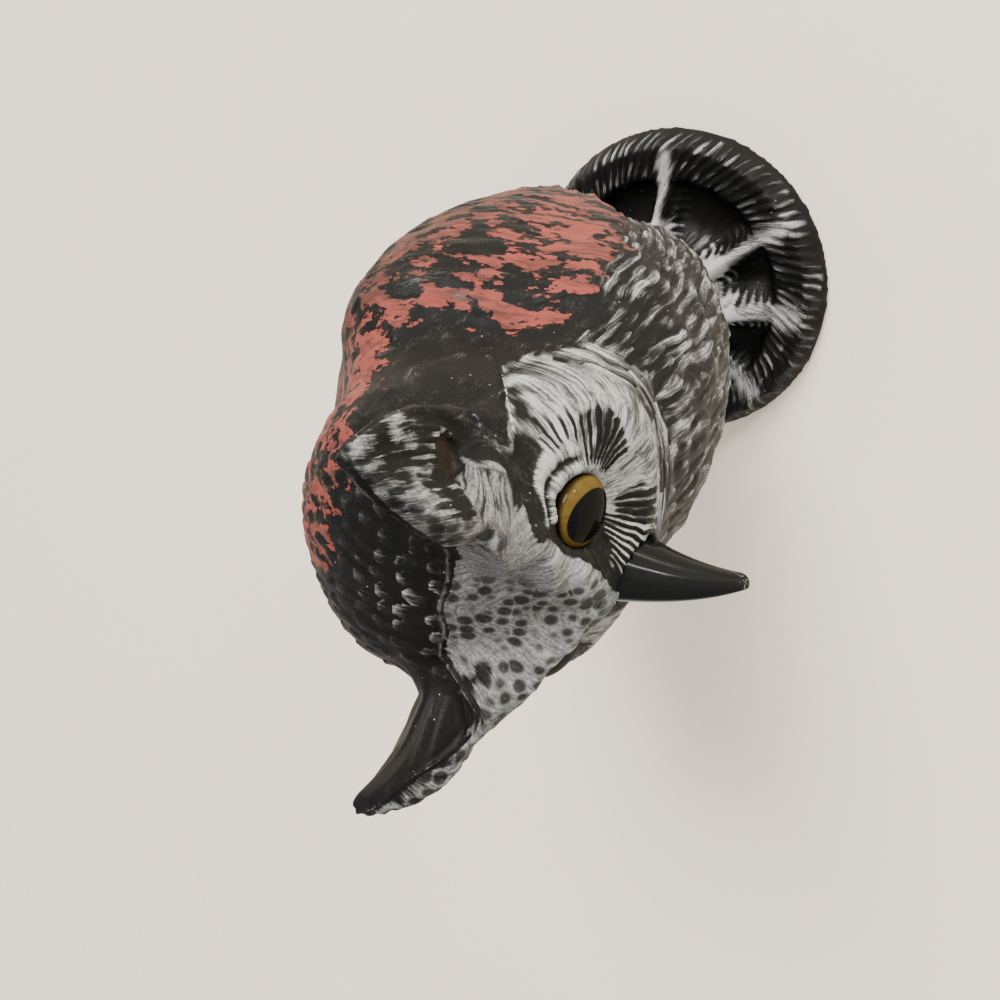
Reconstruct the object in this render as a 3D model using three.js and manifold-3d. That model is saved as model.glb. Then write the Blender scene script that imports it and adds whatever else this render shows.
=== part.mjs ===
// A horned-owl decoy of blow-moulded plastic, standing on its own stump base.
// Millimetres, +Z up. The owl faces -Y, and its left side is +X.
// The origin is the middle of the flat underside.
// Four pieces: the hollow moulding (body, ear tufts, stump and base in one), two glassy eyes and a glossy beak.
import * as THREE from "three";
import { mergeVertices } from "three/addons/utils/BufferGeometryUtils.js";
import Module from "manifold-3d";

const wasm = await Module();
wasm.setup();

// Driving dimensions
const STATURE = 350; // underside to ear-tuft tips
const BASE_DIAMETER = 184;
const BASE_RIM_HEIGHT = 17;
const BASE_RIM_WIDTH = 17; // the flat band of bark round the top edge
const BASE_WELL_DEPTH = 9; // how far the top between the roots is sunk below the rim
const TRUNK_DIAMETER = 66;
const ROOT_WIDTH = 14; // an average root, between its trunk and its outer end
const EYE_DIAMETER = 25;
const EYE_BULGE = 6; // how far the glass dome stands out of its rim
const EYE_DEPTH = 8; // how far the eye's button reaches into its socket
const BEAK_LENGTH = 46;
const BEAK_WIDTH = 25;
const BEAK_DEPTH = 42;
const SEAT_GAP = 0.35; // clearance round what is pressed into the moulding

// The figure's proportions follow its stature: these lengths are set out for a figure 350 high.
const share = (length) => (length * STATURE) / 350;
const at = (x, y, z) => new THREE.Vector3(share(x), share(y), share(z));
const { clamp, lerp, degToRad, smoothstep } = THREE.MathUtils;

// A merged, bare solid for joining and cutting
function solid(geometry) {
  const bare = geometry.clone();
  bare.deleteAttribute("normal");
  bare.deleteAttribute("uv");
  const merged = mergeVertices(bare, 1e-3);
  return new wasm.Manifold(
    new wasm.Mesh({
      numProp: 3,
      vertProperties: merged.attributes.position.array,
      triVerts: new Uint32Array(merged.index.array),
    }),
  );
}

// A moved surface can end up inside out, as a mirrored one does: then its faces are turned round
function facingOut(geometry) {
  const first = solid(geometry);
  if (first.volume() > 0) return first;
  const index = geometry.index.array;
  for (let i = 0; i < index.length; i += 3) [index[i], index[i + 1]] = [index[i + 1], index[i]];
  return solid(geometry);
}

function geometryOf(manifold) {
  const mesh = manifold.getMesh();
  const geometry = new THREE.BufferGeometry();
  geometry.setAttribute("position", new THREE.BufferAttribute(mesh.vertProperties, 3));
  geometry.setIndex(new THREE.BufferAttribute(mesh.triVerts, 1));
  geometry.computeVertexNormals();
  return geometry;
}

// Soft masses: each is a distance that is below zero inside, and they melt into each other.
function melt(a, b, blend) {
  const h = Math.max(blend - Math.abs(a - b), 0) / blend;
  return Math.min(a, b) - (h * h * blend) / 4;
}

function ellipsoid(centre, radii, tilt = [0, 0, 0]) {
  const turn = new THREE.Matrix4().makeRotationFromEuler(new THREE.Euler(...tilt)).invert();
  const q = new THREE.Vector3();
  const r = radii.toArray();
  return (p) => {
    const inside = q.copy(p).sub(centre).applyMatrix4(turn).toArray();
    const scaled = Math.hypot(...inside.map((value, axis) => value / r[axis]));
    const slope = Math.hypot(...inside.map((value, axis) => value / r[axis] ** 2));
    return slope < 1e-9 ? -Math.min(...r) : (scaled * (scaled - 1)) / slope;
  };
}

// A rope of clay from a to b, whose radius runs from ra to rb
function rope(a, b, ra, rb) {
  const ab = b.clone().sub(a);
  const q = new THREE.Vector3();
  return (p) => {
    const t = clamp(q.copy(p).sub(a).dot(ab) / ab.lengthSq(), 0, 1);
    return q.copy(p).sub(a).addScaledVector(ab, -t).length() - lerp(ra, rb, t);
  };
}

// The owl's masses, its left half: |x| stands for x, so that the right half mirrors it
const MASSES = [
  { name: "torso", form: ellipsoid(at(0, -27, 163), at(79, 59, 118), [0.23, 0, 0]), blend: 1 },
  { name: "back", form: ellipsoid(at(0, 17, 190), at(71, 58, 81), [0.18, 0, 0]), blend: 20 },
  { name: "wings", form: ellipsoid(at(47, 20, 170), at(34, 43, 93), [0.06, 0, 0]), blend: 16 },
  { name: "rump", form: ellipsoid(at(0, 36, 106), at(38, 26, 40), [0.2, 0, 0]), blend: 12 },
  { name: "head", form: ellipsoid(at(0, -33, 267), at(64, 64, 48), [0.39, 0, 0]), blend: 22 },
  { name: "crown corners", form: ellipsoid(at(26, -25, 280), at(31, 38, 34)), blend: 12 },
  { name: "tuft roots", form: rope(at(36, -50, 284), at(47, -54, 302), share(22), share(14)), blend: 12 },
  { name: "cheeks", form: ellipsoid(at(39, -58, 247), at(26, 25, 34), [0, 0.1, -0.5]), blend: 9 },
  { name: "bridge", form: ellipsoid(at(0, -78, 254), at(15, 17, 26), [-0.1, 0, 0]), blend: 8 },
  { name: "brows", form: rope(at(0, -89, 272), at(45, -66, 315), share(7.5), share(10.5)), blend: 7 },
];
const FACE_DISH = { form: ellipsoid(at(37, -106, 269), at(25, 27.5, 25.5)), blend: 6 };

// Carving, as heights on top of the masses
const EYE_CENTRE = at(32.5, -79, 275.6);
const EYE_LOOK = new THREE.Vector3(0.22, -0.96, 0.14).normalize();

// A bent line's nearest distance, in the side view (y, z)
function nearLine(y, z, points) {
  let best = Infinity;
  for (let i = 1; i < points.length; i++) {
    const [ay, az] = points[i - 1];
    const [by, bz] = points[i];
    const [dy, dz] = [by - ay, bz - az];
    const t = clamp(((y - ay) * dy + (z - az) * dz) / (dy * dy + dz * dz), 0, 1);
    const off = Math.hypot(y - ay - t * dy, z - az - t * dz);
    if (off < Math.abs(best)) best = Math.sign(dy * (z - az) - dz * (y - ay)) * off;
  }
  return best;
}

const WING_EDGE = [
  [70, 262],
  [22, 246],
  [-14, 234],
  [-40, 204],
  [-26, 150],
  [0, 105],
  [40, 58],
  [70, 40],
].map((pair) => pair.map(share));
const WING_STEP = share(3); // how far the folded wing's edge stands out
const WING_FLANK = [26, 46].map(share); // its carving fades in between these distances from the middle
const PRIMARY_PITCH = share(17);
const PRIMARY_STEP = share(2);
const PRIMARY_SLANT = degToRad(30);
const PRIMARY_TOP = [110, 150].map(share);
const BREAST_RADIUS = share(80);
const BREAST_SIDES = [0.95, 1.3]; // radians from straight ahead, where its locks fade out
const BREAST_FOOT = [58, 78].map(share);
const BREAST_TOP = [196, 222].map(share);
const LOCK_HEIGHT = share(27);
const LOCK_WIDTH = share(17);
const LOCK_STAGGER = 0.39; // rows that a column of locks stands above its neighbour
const LOCK_RELIEF = share(3);
const RUFF_RADIUS = share(37);
const RUFF_WIDTH = share(5);
const RUFF_RELIEF = share(3);
const RUFF_SIDE = new THREE.Vector3(0.75, 0, -0.65); // from the eye towards the cheek
const RUFF_DEPTH = share(34); // how far behind the eye the ruff ends

function wingRelief(p) {
  const inside = nearLine(p.y, p.z, WING_EDGE);
  const side = smoothstep(p.x, ...WING_FLANK);
  const step = smoothstep(inside, -share(2), share(4));
  const low = (1 - smoothstep(p.z, ...PRIMARY_TOP)) * smoothstep(inside, 0, share(8));
  const slanted = p.y * Math.cos(PRIMARY_SLANT) + p.z * Math.sin(PRIMARY_SLANT);
  const along = slanted / PRIMARY_PITCH;
  return side * (WING_STEP * step + PRIMARY_STEP * (along - Math.floor(along)) * low);
}

// Shaggy locks in columns: each lock swells towards its lower end, and neighbours are out of step
function breastRelief(p) {
  const round = Math.atan2(p.x, -p.y + share(10));
  const front = 1 - smoothstep(round, ...BREAST_SIDES);
  const span = smoothstep(p.z, ...BREAST_FOOT) * (1 - smoothstep(p.z, ...BREAST_TOP));
  const column = (round * BREAST_RADIUS) / LOCK_WIDTH;
  const nearest = Math.round(column);
  const row = p.z / LOCK_HEIGHT + nearest * LOCK_STAGGER;
  const up = row - Math.floor(row);
  const ridge = Math.cos((column - nearest) * Math.PI);
  return LOCK_RELIEF * front * span * (1 - up) * ridge;
}

function ruffRelief(p) {
  const away = p.clone().sub(EYE_CENTRE);
  const off = away.clone().addScaledVector(EYE_LOOK, -away.dot(EYE_LOOK)).length();
  const outerSide = smoothstep(away.dot(RUFF_SIDE), 0, share(16));
  const crest = Math.exp(-(((off - RUFF_RADIUS) / RUFF_WIDTH) ** 2));
  return RUFF_RELIEF * crest * outerSide * (away.y < RUFF_DEPTH ? 1 : 0);
}

function figure(point) {
  const p = new THREE.Vector3(Math.abs(point.x), point.y, point.z);
  let d = Infinity;
  for (const mass of MASSES) d = d === Infinity ? mass.form(p) : melt(d, mass.form(p), share(mass.blend));
  d = -melt(-d, FACE_DISH.form(p), share(FACE_DISH.blend));
  return d - wingRelief(p) - breastRelief(p) - ruffRelief(p);
}

// A capsule whose points move outward from a leaning spine until they leave the field
const SPINE_FOOT = at(0, 2, 84);
const SPINE_HEAD = at(0, -34, 262);
const BODY_SIDES = 60;
const BODY_RINGS = 23;
const CAP_RINGS = 8;
const MARCH_STEP = share(5);
const HALVINGS = 14;

function wrapped(field, foot, head) {
  const capsule = new THREE.CapsuleGeometry(1, 2, CAP_RINGS, BODY_SIDES, BODY_RINGS);
  capsule.rotateX(Math.PI / 2);
  const position = capsule.attributes.position;
  const v = new THREE.Vector3();
  const start = new THREE.Vector3();
  const p = new THREE.Vector3();
  for (let i = 0; i < position.count; i++) {
    v.fromBufferAttribute(position, i);
    const along = clamp(v.z, -1, 1);
    start.lerpVectors(foot, head, (along + 1) / 2);
    v.setZ(v.z - along).normalize();
    let inner = 0;
    while (field(p.copy(start).addScaledVector(v, inner + MARCH_STEP)) < 0) inner += MARCH_STEP;
    let outer = inner + MARCH_STEP;
    for (let halving = 0; halving < HALVINGS; halving++) {
      const middle = (inner + outer) / 2;
      if (field(p.copy(start).addScaledVector(v, middle)) < 0) inner = middle;
      else outer = middle;
    }
    position.setXYZ(i, ...p.copy(start).addScaledVector(v, outer).toArray());
  }
  return capsule;
}

// An ear tuft: a leaf between its inner and its outer edge, hollow in front, whose rings run up to its tip
const TUFT_TIP = at(77, -41.5, 349);
const TUFT_INNER = new THREE.CatmullRomCurve3([
  at(18, -46, 290),
  at(36, -59, 318),
  at(50, -64, 335),
  at(66, -51, 347),
  TUFT_TIP,
]);
const TUFT_OUTER = new THREE.CatmullRomCurve3([
  at(60, -52, 272),
  at(66, -39, 298),
  at(75, -39, 317),
  at(79, -41, 337),
  TUFT_TIP,
]);
const TUFT_ROOT_THICKNESS = share(17);
const TUFT_TIP_THICKNESS = share(6);
const TUFT_HEEL = share(21); // how far its front swells towards the brow, at its root
const TUFT_END = 0.97; // how near its tip the last ring is

function earTuft(side) {
  const tuft = new THREE.CylinderGeometry(1, 1, 1, 18, 11);
  const position = tuft.attributes.position;
  const v = new THREE.Vector3();
  for (let i = 0; i < position.count; i++) {
    v.fromBufferAttribute(position, i);
    const t = lerp(0, TUFT_END, 0.5 - v.y);
    const inner = TUFT_INNER.getPoint(t);
    const outer = TUFT_OUTER.getPoint(t);
    const across = outer.clone().sub(inner).multiplyScalar(0.5);
    const middle = inner.clone().add(across);
    const along = TUFT_INNER.getTangent(t).add(TUFT_OUTER.getTangent(t));
    const facing = new THREE.Vector3().crossVectors(across, along).normalize();
    const thick = lerp(TUFT_ROOT_THICKNESS, TUFT_TIP_THICKNESS, t);
    const rounded = Math.sqrt(Math.max(v.z, 0));
    const front = rounded * (0.35 + 0.75 * v.x * v.x);
    const back = Math.min(v.z, 0) * 0.5;
    const heel = rounded * Math.max(-v.x, 0) ** 0.7 * (1 - t) ** 1.8 * TUFT_HEEL;
    middle.addScaledVector(across, v.x).addScaledVector(facing, (front + back) * thick + heel);
    position.setXYZ(i, middle.x * side, middle.y, middle.z);
  }
  return facingOut(tuft);
}

// The tail: a blade of stiff feathers that hangs behind the stump, its rings stacked along its length
const TAIL_ROOT = at(0, 40, 128);
const TAIL_END = at(0, 67, 34);
const TAIL_HALF_WIDTH = [36, 27].map(share); // at its root and at its end
const TAIL_HALF_THICKNESS = [17, 7].map(share);
const TAIL_FEATHERS = 5;
const TAIL_ROUNDING = 0.08; // how much shorter its outermost feathers are

function tail() {
  const blade = new THREE.CylinderGeometry(1, 1, 1, 24, 5);
  const position = blade.attributes.position;
  const along = TAIL_END.clone().sub(TAIL_ROOT);
  const behind = new THREE.Vector3(0, -along.z, along.y).normalize();
  const v = new THREE.Vector3();
  for (let i = 0; i < position.count; i++) {
    v.fromBufferAttribute(position, i);
    const t = 0.5 - v.y;
    const width = lerp(...TAIL_HALF_WIDTH, t);
    const feather = 0.8 + 0.2 * Math.abs(Math.cos((v.x * TAIL_FEATHERS * Math.PI) / 2));
    const thick = lerp(...TAIL_HALF_THICKNESS, t) * feather;
    const point = TAIL_ROOT.clone().addScaledVector(along, t - TAIL_ROUNDING * t * v.x * v.x);
    point.addScaledVector(behind, -v.z * thick);
    position.setXYZ(i, v.x * width, point.y, point.z);
  }
  return facingOut(blade);
}

// The stump: a low round base with a bark rim, a sunk top, and roots that climb from the rim to the trunk
// Each root's bearing in degrees, its breadth in root widths, and its reach from the trunk in well widths
const ROOTS = [
  { bearing: 11, breadth: 0.72, reach: 0.97 },
  { bearing: -46, breadth: 0.93, reach: 1.2 },
  { bearing: -83, breadth: 1.2, reach: 1.0 },
  { bearing: -122, breadth: 1.0, reach: 1.15 },
  { bearing: 178, breadth: 0.86, reach: 1.0 },
  { bearing: 124, breadth: 1.07, reach: 1.2 },
  { bearing: 68, breadth: 0.86, reach: 1.0 },
];
const FOOT_CHAMFER = 2;
const WALL_SLOPE = 3; // how far the inner walls lean, so that the mould lets go
const BARK_LEAN = 8; // how far the wall leans in from foot to top edge
const BARK_PLATES = 28;
const BARK_RELIEF = 1.4;
const TRUNK_TOP = share(70);
const TRUNK_FLARE = 16; // how high the sunk top sweeps up to the trunk
const WELL_RINGS = 8;
const ROOT_RISE = 27; // how much higher a root stands at the trunk than at the rim
const ROOT_STAND = 2; // how far a root's outer end stands above the rim

// A root's height above the sunk top, from the rim (0) inwards to the trunk (1)
function rootHeight(bearing, radius, inward) {
  let highest = 0;
  for (const root of ROOTS) {
    const angle = bearing - degToRad(root.bearing);
    const aside = Math.atan2(Math.sin(angle), Math.cos(angle)) * radius;
    const reached = smoothstep(inward, 1 - root.reach - 0.06, 1 - root.reach + 0.08);
    const crest = Math.exp(-((aside / (root.breadth * ROOT_WIDTH / 2)) ** 2));
    const height = BASE_WELL_DEPTH + ROOT_STAND + ROOT_RISE * Math.max(inward, 0) ** 1.4;
    highest = Math.max(highest, height * crest * reached);
  }
  return highest;
}

function stump() {
  const foot = BASE_DIAMETER / 2;
  const edge = foot - BARK_LEAN;
  const lip = edge - BASE_RIM_WIDTH;
  const trunk = TRUNK_DIAMETER / 2;
  const well = BASE_RIM_HEIGHT - BASE_WELL_DEPTH;
  const profile = [
    new THREE.Vector2(0, 0),
    new THREE.Vector2(foot - FOOT_CHAMFER, 0),
    new THREE.Vector2(foot, FOOT_CHAMFER),
    new THREE.Vector2(edge, BASE_RIM_HEIGHT),
    new THREE.Vector2(lip, BASE_RIM_HEIGHT),
  ];
  for (let i = 0; i <= WELL_RINGS; i++)
    profile.push(new THREE.Vector2(lerp(lip - WALL_SLOPE, trunk, i / WELL_RINGS), well));
  profile.push(new THREE.Vector2(trunk - WALL_SLOPE, TRUNK_TOP), new THREE.Vector2(0, TRUNK_TOP));
  const lathe = new THREE.LatheGeometry(profile, BARK_PLATES * 3);
  lathe.rotateX(Math.PI / 2);
  const position = lathe.attributes.position;
  for (let i = 0; i < position.count; i++) {
    const [x, y, z] = [position.getX(i), position.getY(i), position.getZ(i)];
    const r = Math.hypot(x, y);
    const bearing = Math.atan2(y, x);
    const inward = (lip - r) / (lip - trunk);
    if (z < BASE_RIM_HEIGHT / 2 && r > lip) continue;
    if (r > lip - 1) {
      const bark = BARK_RELIEF * Math.cos(BARK_PLATES * bearing);
      const over = Math.max(rootHeight(bearing, r, inward) - BASE_WELL_DEPTH, 0);
      position.setXYZ(i, x * (1 + bark / r), y * (1 + bark / r), z + bark * 0.6 + over);
    } else if (r > trunk - 1) {
      position.setZ(i, well + TRUNK_FLARE * inward ** 5 + rootHeight(bearing, r, inward));
    }
  }
  return solid(lathe);
}

// An eye: a glass button with a domed front, grown by a margin where it cuts its own socket
const EYE_BACK_SHARE = 0.75; // the button's back is this much of its diameter
const EYE_RINGS = 7;
const EYE_SIDES = 20;

function eyeButton(margin) {
  const radius = EYE_DIAMETER / 2 + margin;
  const back = EYE_DEPTH + margin;
  const bulge = EYE_BULGE + margin;
  const profile = [new THREE.Vector2(0, -back), new THREE.Vector2(radius * EYE_BACK_SHARE, -back)];
  for (let i = 0; i < EYE_RINGS; i++) {
    const a = ((i / EYE_RINGS) * Math.PI) / 2;
    profile.push(new THREE.Vector2(radius * Math.cos(a), bulge * Math.sin(a)));
  }
  profile.push(new THREE.Vector2(0, bulge));
  return new THREE.LatheGeometry(profile, EYE_SIDES);
}

function eyePlace(side) {
  const look = EYE_LOOK.clone();
  const centre = EYE_CENTRE.clone();
  look.x *= side;
  centre.x *= side;
  const turn = new THREE.Quaternion().setFromUnitVectors(new THREE.Vector3(0, 1, 0), look);
  return new THREE.Matrix4().makeRotationFromQuaternion(turn).setPosition(centre);
}

// The beak: rings along a hooked spine, ridged above and narrower below
const BEAK_ROOT = at(0, -88, 252);
const BEAK_DROOP = degToRad(24);
const BEAK_HOOK = 8; // how far the spine arches above the straight line to the tip
const BEAK_BEND_PLACE = 0.6;
const BEAK_TIP_SHARE = 0.13; // the blunt tip's size as a share of the root's
const CULMEN_PINCH = 0.55; // how much narrower the ridge above is than the middle
const CHIN_PINCH = 0.25;

function beakForm(margin) {
  const forward = new THREE.Vector3(0, -Math.cos(BEAK_DROOP), -Math.sin(BEAK_DROOP));
  const tip = BEAK_ROOT.clone().addScaledVector(forward, BEAK_LENGTH);
  const bend = BEAK_ROOT.clone().addScaledVector(forward, BEAK_LENGTH * BEAK_BEND_PLACE);
  bend.z += BEAK_HOOK;
  const spine = new THREE.QuadraticBezierCurve3(BEAK_ROOT, bend, tip);
  const beak = new THREE.CylinderGeometry(1, 1, 1, 18, 12);
  const position = beak.attributes.position;
  const v = new THREE.Vector3();
  const across = new THREE.Vector3(1, 0, 0);
  for (let i = 0; i < position.count; i++) {
    v.fromBufferAttribute(position, i);
    const t = 0.5 + v.y;
    const tangent = spine.getTangent(t);
    const up = new THREE.Vector3().crossVectors(across, tangent).normalize();
    const slim = lerp(1, BEAK_TIP_SHARE, t ** 0.85);
    const pinch = 1 - (v.z > 0 ? CULMEN_PINCH : CHIN_PINCH) * v.z ** 2;
    const point = spine.getPoint(t);
    if (t === 0) point.addScaledVector(tangent, -margin);
    if (t === 1) point.addScaledVector(tangent, margin);
    point.addScaledVector(across, v.x * pinch * ((BEAK_WIDTH / 2) * slim + margin));
    point.addScaledVector(up, v.z * ((BEAK_DEPTH / 2) * slim + margin));
    position.setXYZ(i, ...point.toArray());
  }
  return facingOut(beak);
}

const eyeSolid = (side, margin) => solid(eyeButton(margin).applyMatrix4(eyePlace(side)));

let moulding = solid(wrapped(figure, SPINE_FOOT, SPINE_HEAD));
for (const added of [earTuft(1), earTuft(-1), tail(), stump()]) moulding = moulding.add(added);
for (const cut of [eyeSolid(1, SEAT_GAP), eyeSolid(-1, SEAT_GAP), beakForm(SEAT_GAP)])
  moulding = moulding.subtract(cut);

const paintedPlastic = new THREE.MeshStandardMaterial({ color: 0x3a3935, roughness: 0.62, metalness: 0 });
const glossyPlastic = new THREE.MeshStandardMaterial({ color: 0x1c1d1b, roughness: 0.2, metalness: 0 });
const amberGlass = new THREE.MeshStandardMaterial({ color: 0xa8821f, roughness: 0.06, metalness: 0 });

const owl = new THREE.Group();

function piece(name, manifold, material) {
  const mesh = new THREE.Mesh(geometryOf(manifold), material);
  mesh.name = name;
  owl.add(mesh);
}

piece("owl_body", moulding, paintedPlastic);
piece("beak", beakForm(0), glossyPlastic);
piece("left_eye", eyeSolid(1, 0), amberGlass);
piece("right_eye", eyeSolid(-1, 0), amberGlass);

export default owl;
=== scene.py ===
"""A horned-owl decoy of blow-moulded plastic: painted shell, glassy eyes and glossy beak, on studio paper.

Metres, +Z up. The owl faces -Y, and its left side is +X. Its carving is worked out in millimetres.
"""

import math

import bpy
import numpy as np
from bpy.props import FloatProperty, FloatVectorProperty, IntProperty, PointerProperty
from mathutils import Matrix, Vector


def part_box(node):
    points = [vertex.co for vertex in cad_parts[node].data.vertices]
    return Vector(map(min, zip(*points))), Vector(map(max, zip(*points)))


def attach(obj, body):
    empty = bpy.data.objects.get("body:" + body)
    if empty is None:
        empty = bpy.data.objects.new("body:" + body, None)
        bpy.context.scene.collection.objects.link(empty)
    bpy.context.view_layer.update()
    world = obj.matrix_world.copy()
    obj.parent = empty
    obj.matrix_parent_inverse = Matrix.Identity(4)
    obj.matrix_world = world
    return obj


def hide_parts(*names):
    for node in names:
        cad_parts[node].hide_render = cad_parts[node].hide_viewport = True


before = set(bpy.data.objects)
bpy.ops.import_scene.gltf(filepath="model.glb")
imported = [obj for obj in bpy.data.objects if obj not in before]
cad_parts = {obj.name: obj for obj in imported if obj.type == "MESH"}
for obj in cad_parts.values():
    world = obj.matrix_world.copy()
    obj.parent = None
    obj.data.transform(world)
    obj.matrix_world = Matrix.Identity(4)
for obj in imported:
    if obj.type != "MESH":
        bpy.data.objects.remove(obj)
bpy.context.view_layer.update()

bl_info = {
    "name": "Owl Decoy",
    "version": (1, 0, 0),
    "blender": (4, 5, 0),
    "location": "View3D > Sidebar > Owl Decoy",
    "description": "Builds a moulded, dry-brushed owl decoy round its packed solids",
    "category": "Object",
}

# The figure is drawn in millimetres for tuft tips this high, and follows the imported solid's height.
DRAWN_TIP = 349.14
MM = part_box("owl_body")[1].z / DRAWN_TIP
UP = np.array([0.0, 0.0, 1.0])

# Places on the drawn figure, its left half
EYE_CENTRE = np.array([32.5, -79.0, 275.6])
EYE_LOOK = np.array([0.22, -0.96, 0.14]) / np.linalg.norm([0.22, -0.96, 0.14])
EYE_RADIUS = 12.5
EYE_BULGE = 6.0
EYE_DEPTH = 8.0
BEAK_ROOT = np.array([0.0, -88.0, 252.0])
TUFT_ROOT = np.array([42.0, -60.0, 300.0])
TUFT_TIP = np.array([77.0, -41.5, 349.0])
EAR_HOLLOW = np.array([63.0, -52.0, 313.5])
CROWN_SCUFF = np.array([2.0, -37.0, 314.0])
# A spot of painted shade lies here, in the hollow before the right tuft's root
BROW_SHADE_SPOT = np.array([-30.0, -67.0, 306.0])
RIM_RADIUS = 92.0
RIM_LIP = 67.0
RIB_PITCH = 3.6

# Each root's bearing in degrees, and how broad its bright crest is
ROOTS = ((11, 4.5), (-46, 6.0), (-83, 9.5), (-122, 8.0), (178, 6.0), (124, 7.0), (68, 6.0))

# The parting line of the mould, as points (|x|, y, z): over the crown, round a tuft and down the neck
SEAM = [
    (0, -50, 311.5), (13, -52, 310.5), (24, -51.5, 310.5), (53, -61, 338), (62, -55, 344), (70, -50, 348),
    (78, -43.5, 349), (80, -42, 335), (78, -46, 319), (70, -47.5, 305), (63, -51, 297), (60, -58, 295),
    (62.6, -55, 285.6), (64.8, -46, 274), (63.7, -32, 257), (63, -15, 238), (70, -5, 200), (80, 0, 120),
]
# It climbs the left tuft's inner side further back than the right one's
LEFT_CLIMB = [(30, -49, 317), (38, -54, 326), (46, -59, 333)]
RIGHT_CLIMB = [(31, -63, 313), (35, -69.5, 316), (42, -70, 320), (46.5, -68, 325), (48.5, -66, 331)]
# Points inside a tuft, which keep the line's plate between its two faces
TUFT_MIDDLE = [(65, -46.5, 314), (72, -45.5, 326)]

# Black patches in the coral paint, in the side view: y, z and radius
BARE = ((17, 242, 5.0), (5, 233, 6.5), (14, 219, 4.5), (0, 211, 5.0), (-14, 219, 7.0), (-24, 216, 6.0))

# Edges in the side view, as (y, z): what lies behind them is above and behind. All end down the wing's front.
WING_FRONT = [(-26, 150), (0, 105), (40, 58), (70, 40)]
WING_EDGE = [(70, 262), (22, 246), (-14, 234), (-40, 204)] + WING_FRONT
CORAL_EDGE = [
    (-16, 335), (-10, 312), (-6, 297), (3, 282), (9, 266), (8, 252), (0, 243), (-20, 236), (-35, 221),
    (-39, 205), (-33, 168),
] + WING_FRONT
GREY_EDGE = [
    (-58, 294), (-54.5, 286), (-46, 274), (-36, 260), (-36, 250), (-39, 241), (-46, 231), (-50, 211),
    (-40, 204),
] + WING_FRONT

# Distances from an eye's middle, as (degrees, millimetres). The degrees turn from the head's outer side (0)
# over the brow (90) to the beak. The face ends at the brow, at the ear tuft, and at the ruff elsewhere.
FACE_REACH = (
    (-180, 21), (-174, 31), (-150, 42), (-140, 47), (5, 47), (15, 42), (34, 35), (55, 30), (72, 27), (80, 22),
    (91, 18.5), (120, 15.5), (143, 14), (163, 16), (180, 21),
)
SHADE_REACH = ((5, 31), (20, 35), (34, 36), (46, 34), (55, 31), (72, 28), (85, 26))

# Unit directions in the side view (y, z): across and along the wing's strokes, which run down and back
WING_ACROSS = (0.54, -0.84)
WING_ALONG = (-0.84, -0.54)


def linear(hex_colour):
    """An sRGB hex value as linear red, green, blue and alpha"""
    parts = [int(hex_colour[i : i + 2], 16) / 255 for i in (1, 3, 5)]
    return tuple(c / 12.92 if c <= 0.04045 else ((c + 0.055) / 1.055) ** 2.4 for c in parts) + (1.0,)


def smooth(value, low, high):
    """0 below low and 1 above high, or the other way round where low is the higher"""
    t = np.clip((value - low) / (high - low), 0, 1)
    return t * t * (3 - 2 * t)


def band(value, low, high, soft):
    """1 between low and high, with soft edges"""
    return smooth(value, low - soft, low + soft) * smooth(value, high + soft, high - soft)


def hump(value, width):
    """1 at zero, falling to nearly 0 at twice the width"""
    return np.exp(-((value / width) ** 2))


def near(p, place, radius, stretch=(1.0, 1.0, 1.0)):
    """A soft ball round a place"""
    return hump(np.linalg.norm((p - place) * stretch, axis=1), radius)


def scatter(*cells, seed=0):
    """A repeatable number from -1 to 1 for each set of whole numbers, by multiplying by primes and folding"""
    mixed = np.full(np.shape(cells[0]), seed * 1274126177 + 97, np.int64)
    for cell, prime in zip(cells, (374761393, 668265263, 1103515245)):
        mixed = (mixed ^ (cell.astype(np.int64) * prime)) * 2654435761 & 0xFFFFFFFF
        mixed ^= mixed >> 15
    return (mixed & 0xFFFF) / 32767.5 - 1


def grain(p, size, seed=0):
    """Soft noise from -1 to 1, with lumps of about that size in millimetres (one size or three)"""
    q = p / np.asarray(size, float)
    cell = np.floor(q)
    f = q - cell
    f = f * f * (3 - 2 * f)
    total = 0
    for corner in range(8):
        step = np.array([corner & 1, corner >> 1 & 1, corner >> 2 & 1])
        weight = np.prod(np.where(step, f, 1 - f), axis=1)
        total = total + weight * scatter(*(cell + step).T, seed=seed)
    return total


def combed(across, along, width, length, seed):
    """Noise drawn out along the strokes"""
    return grain(np.stack([across, along, 0 * across], 1), (width, length, 1), seed)


def side_of(p, line):
    """Distance in the side view from a bent line, above zero behind it"""
    best = np.full(len(p), np.inf)
    signed = np.zeros(len(p))
    yz = p[:, 1:]
    for a, b in zip(np.array(line[:-1], float), np.array(line[1:], float)):
        ab = b - a
        t = np.clip((yz - a) @ ab / (ab @ ab), 0, 1)
        away = yz - a - t[:, None] * ab
        off = np.hypot(*away.T)
        nearer = off < best
        turn = np.sign(ab[0] * (yz[:, 1] - a[1]) - ab[1] * (yz[:, 0] - a[0]))
        best = np.where(nearer, off, best)
        signed = np.where(nearer, turn * off, signed)
    return signed


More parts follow.
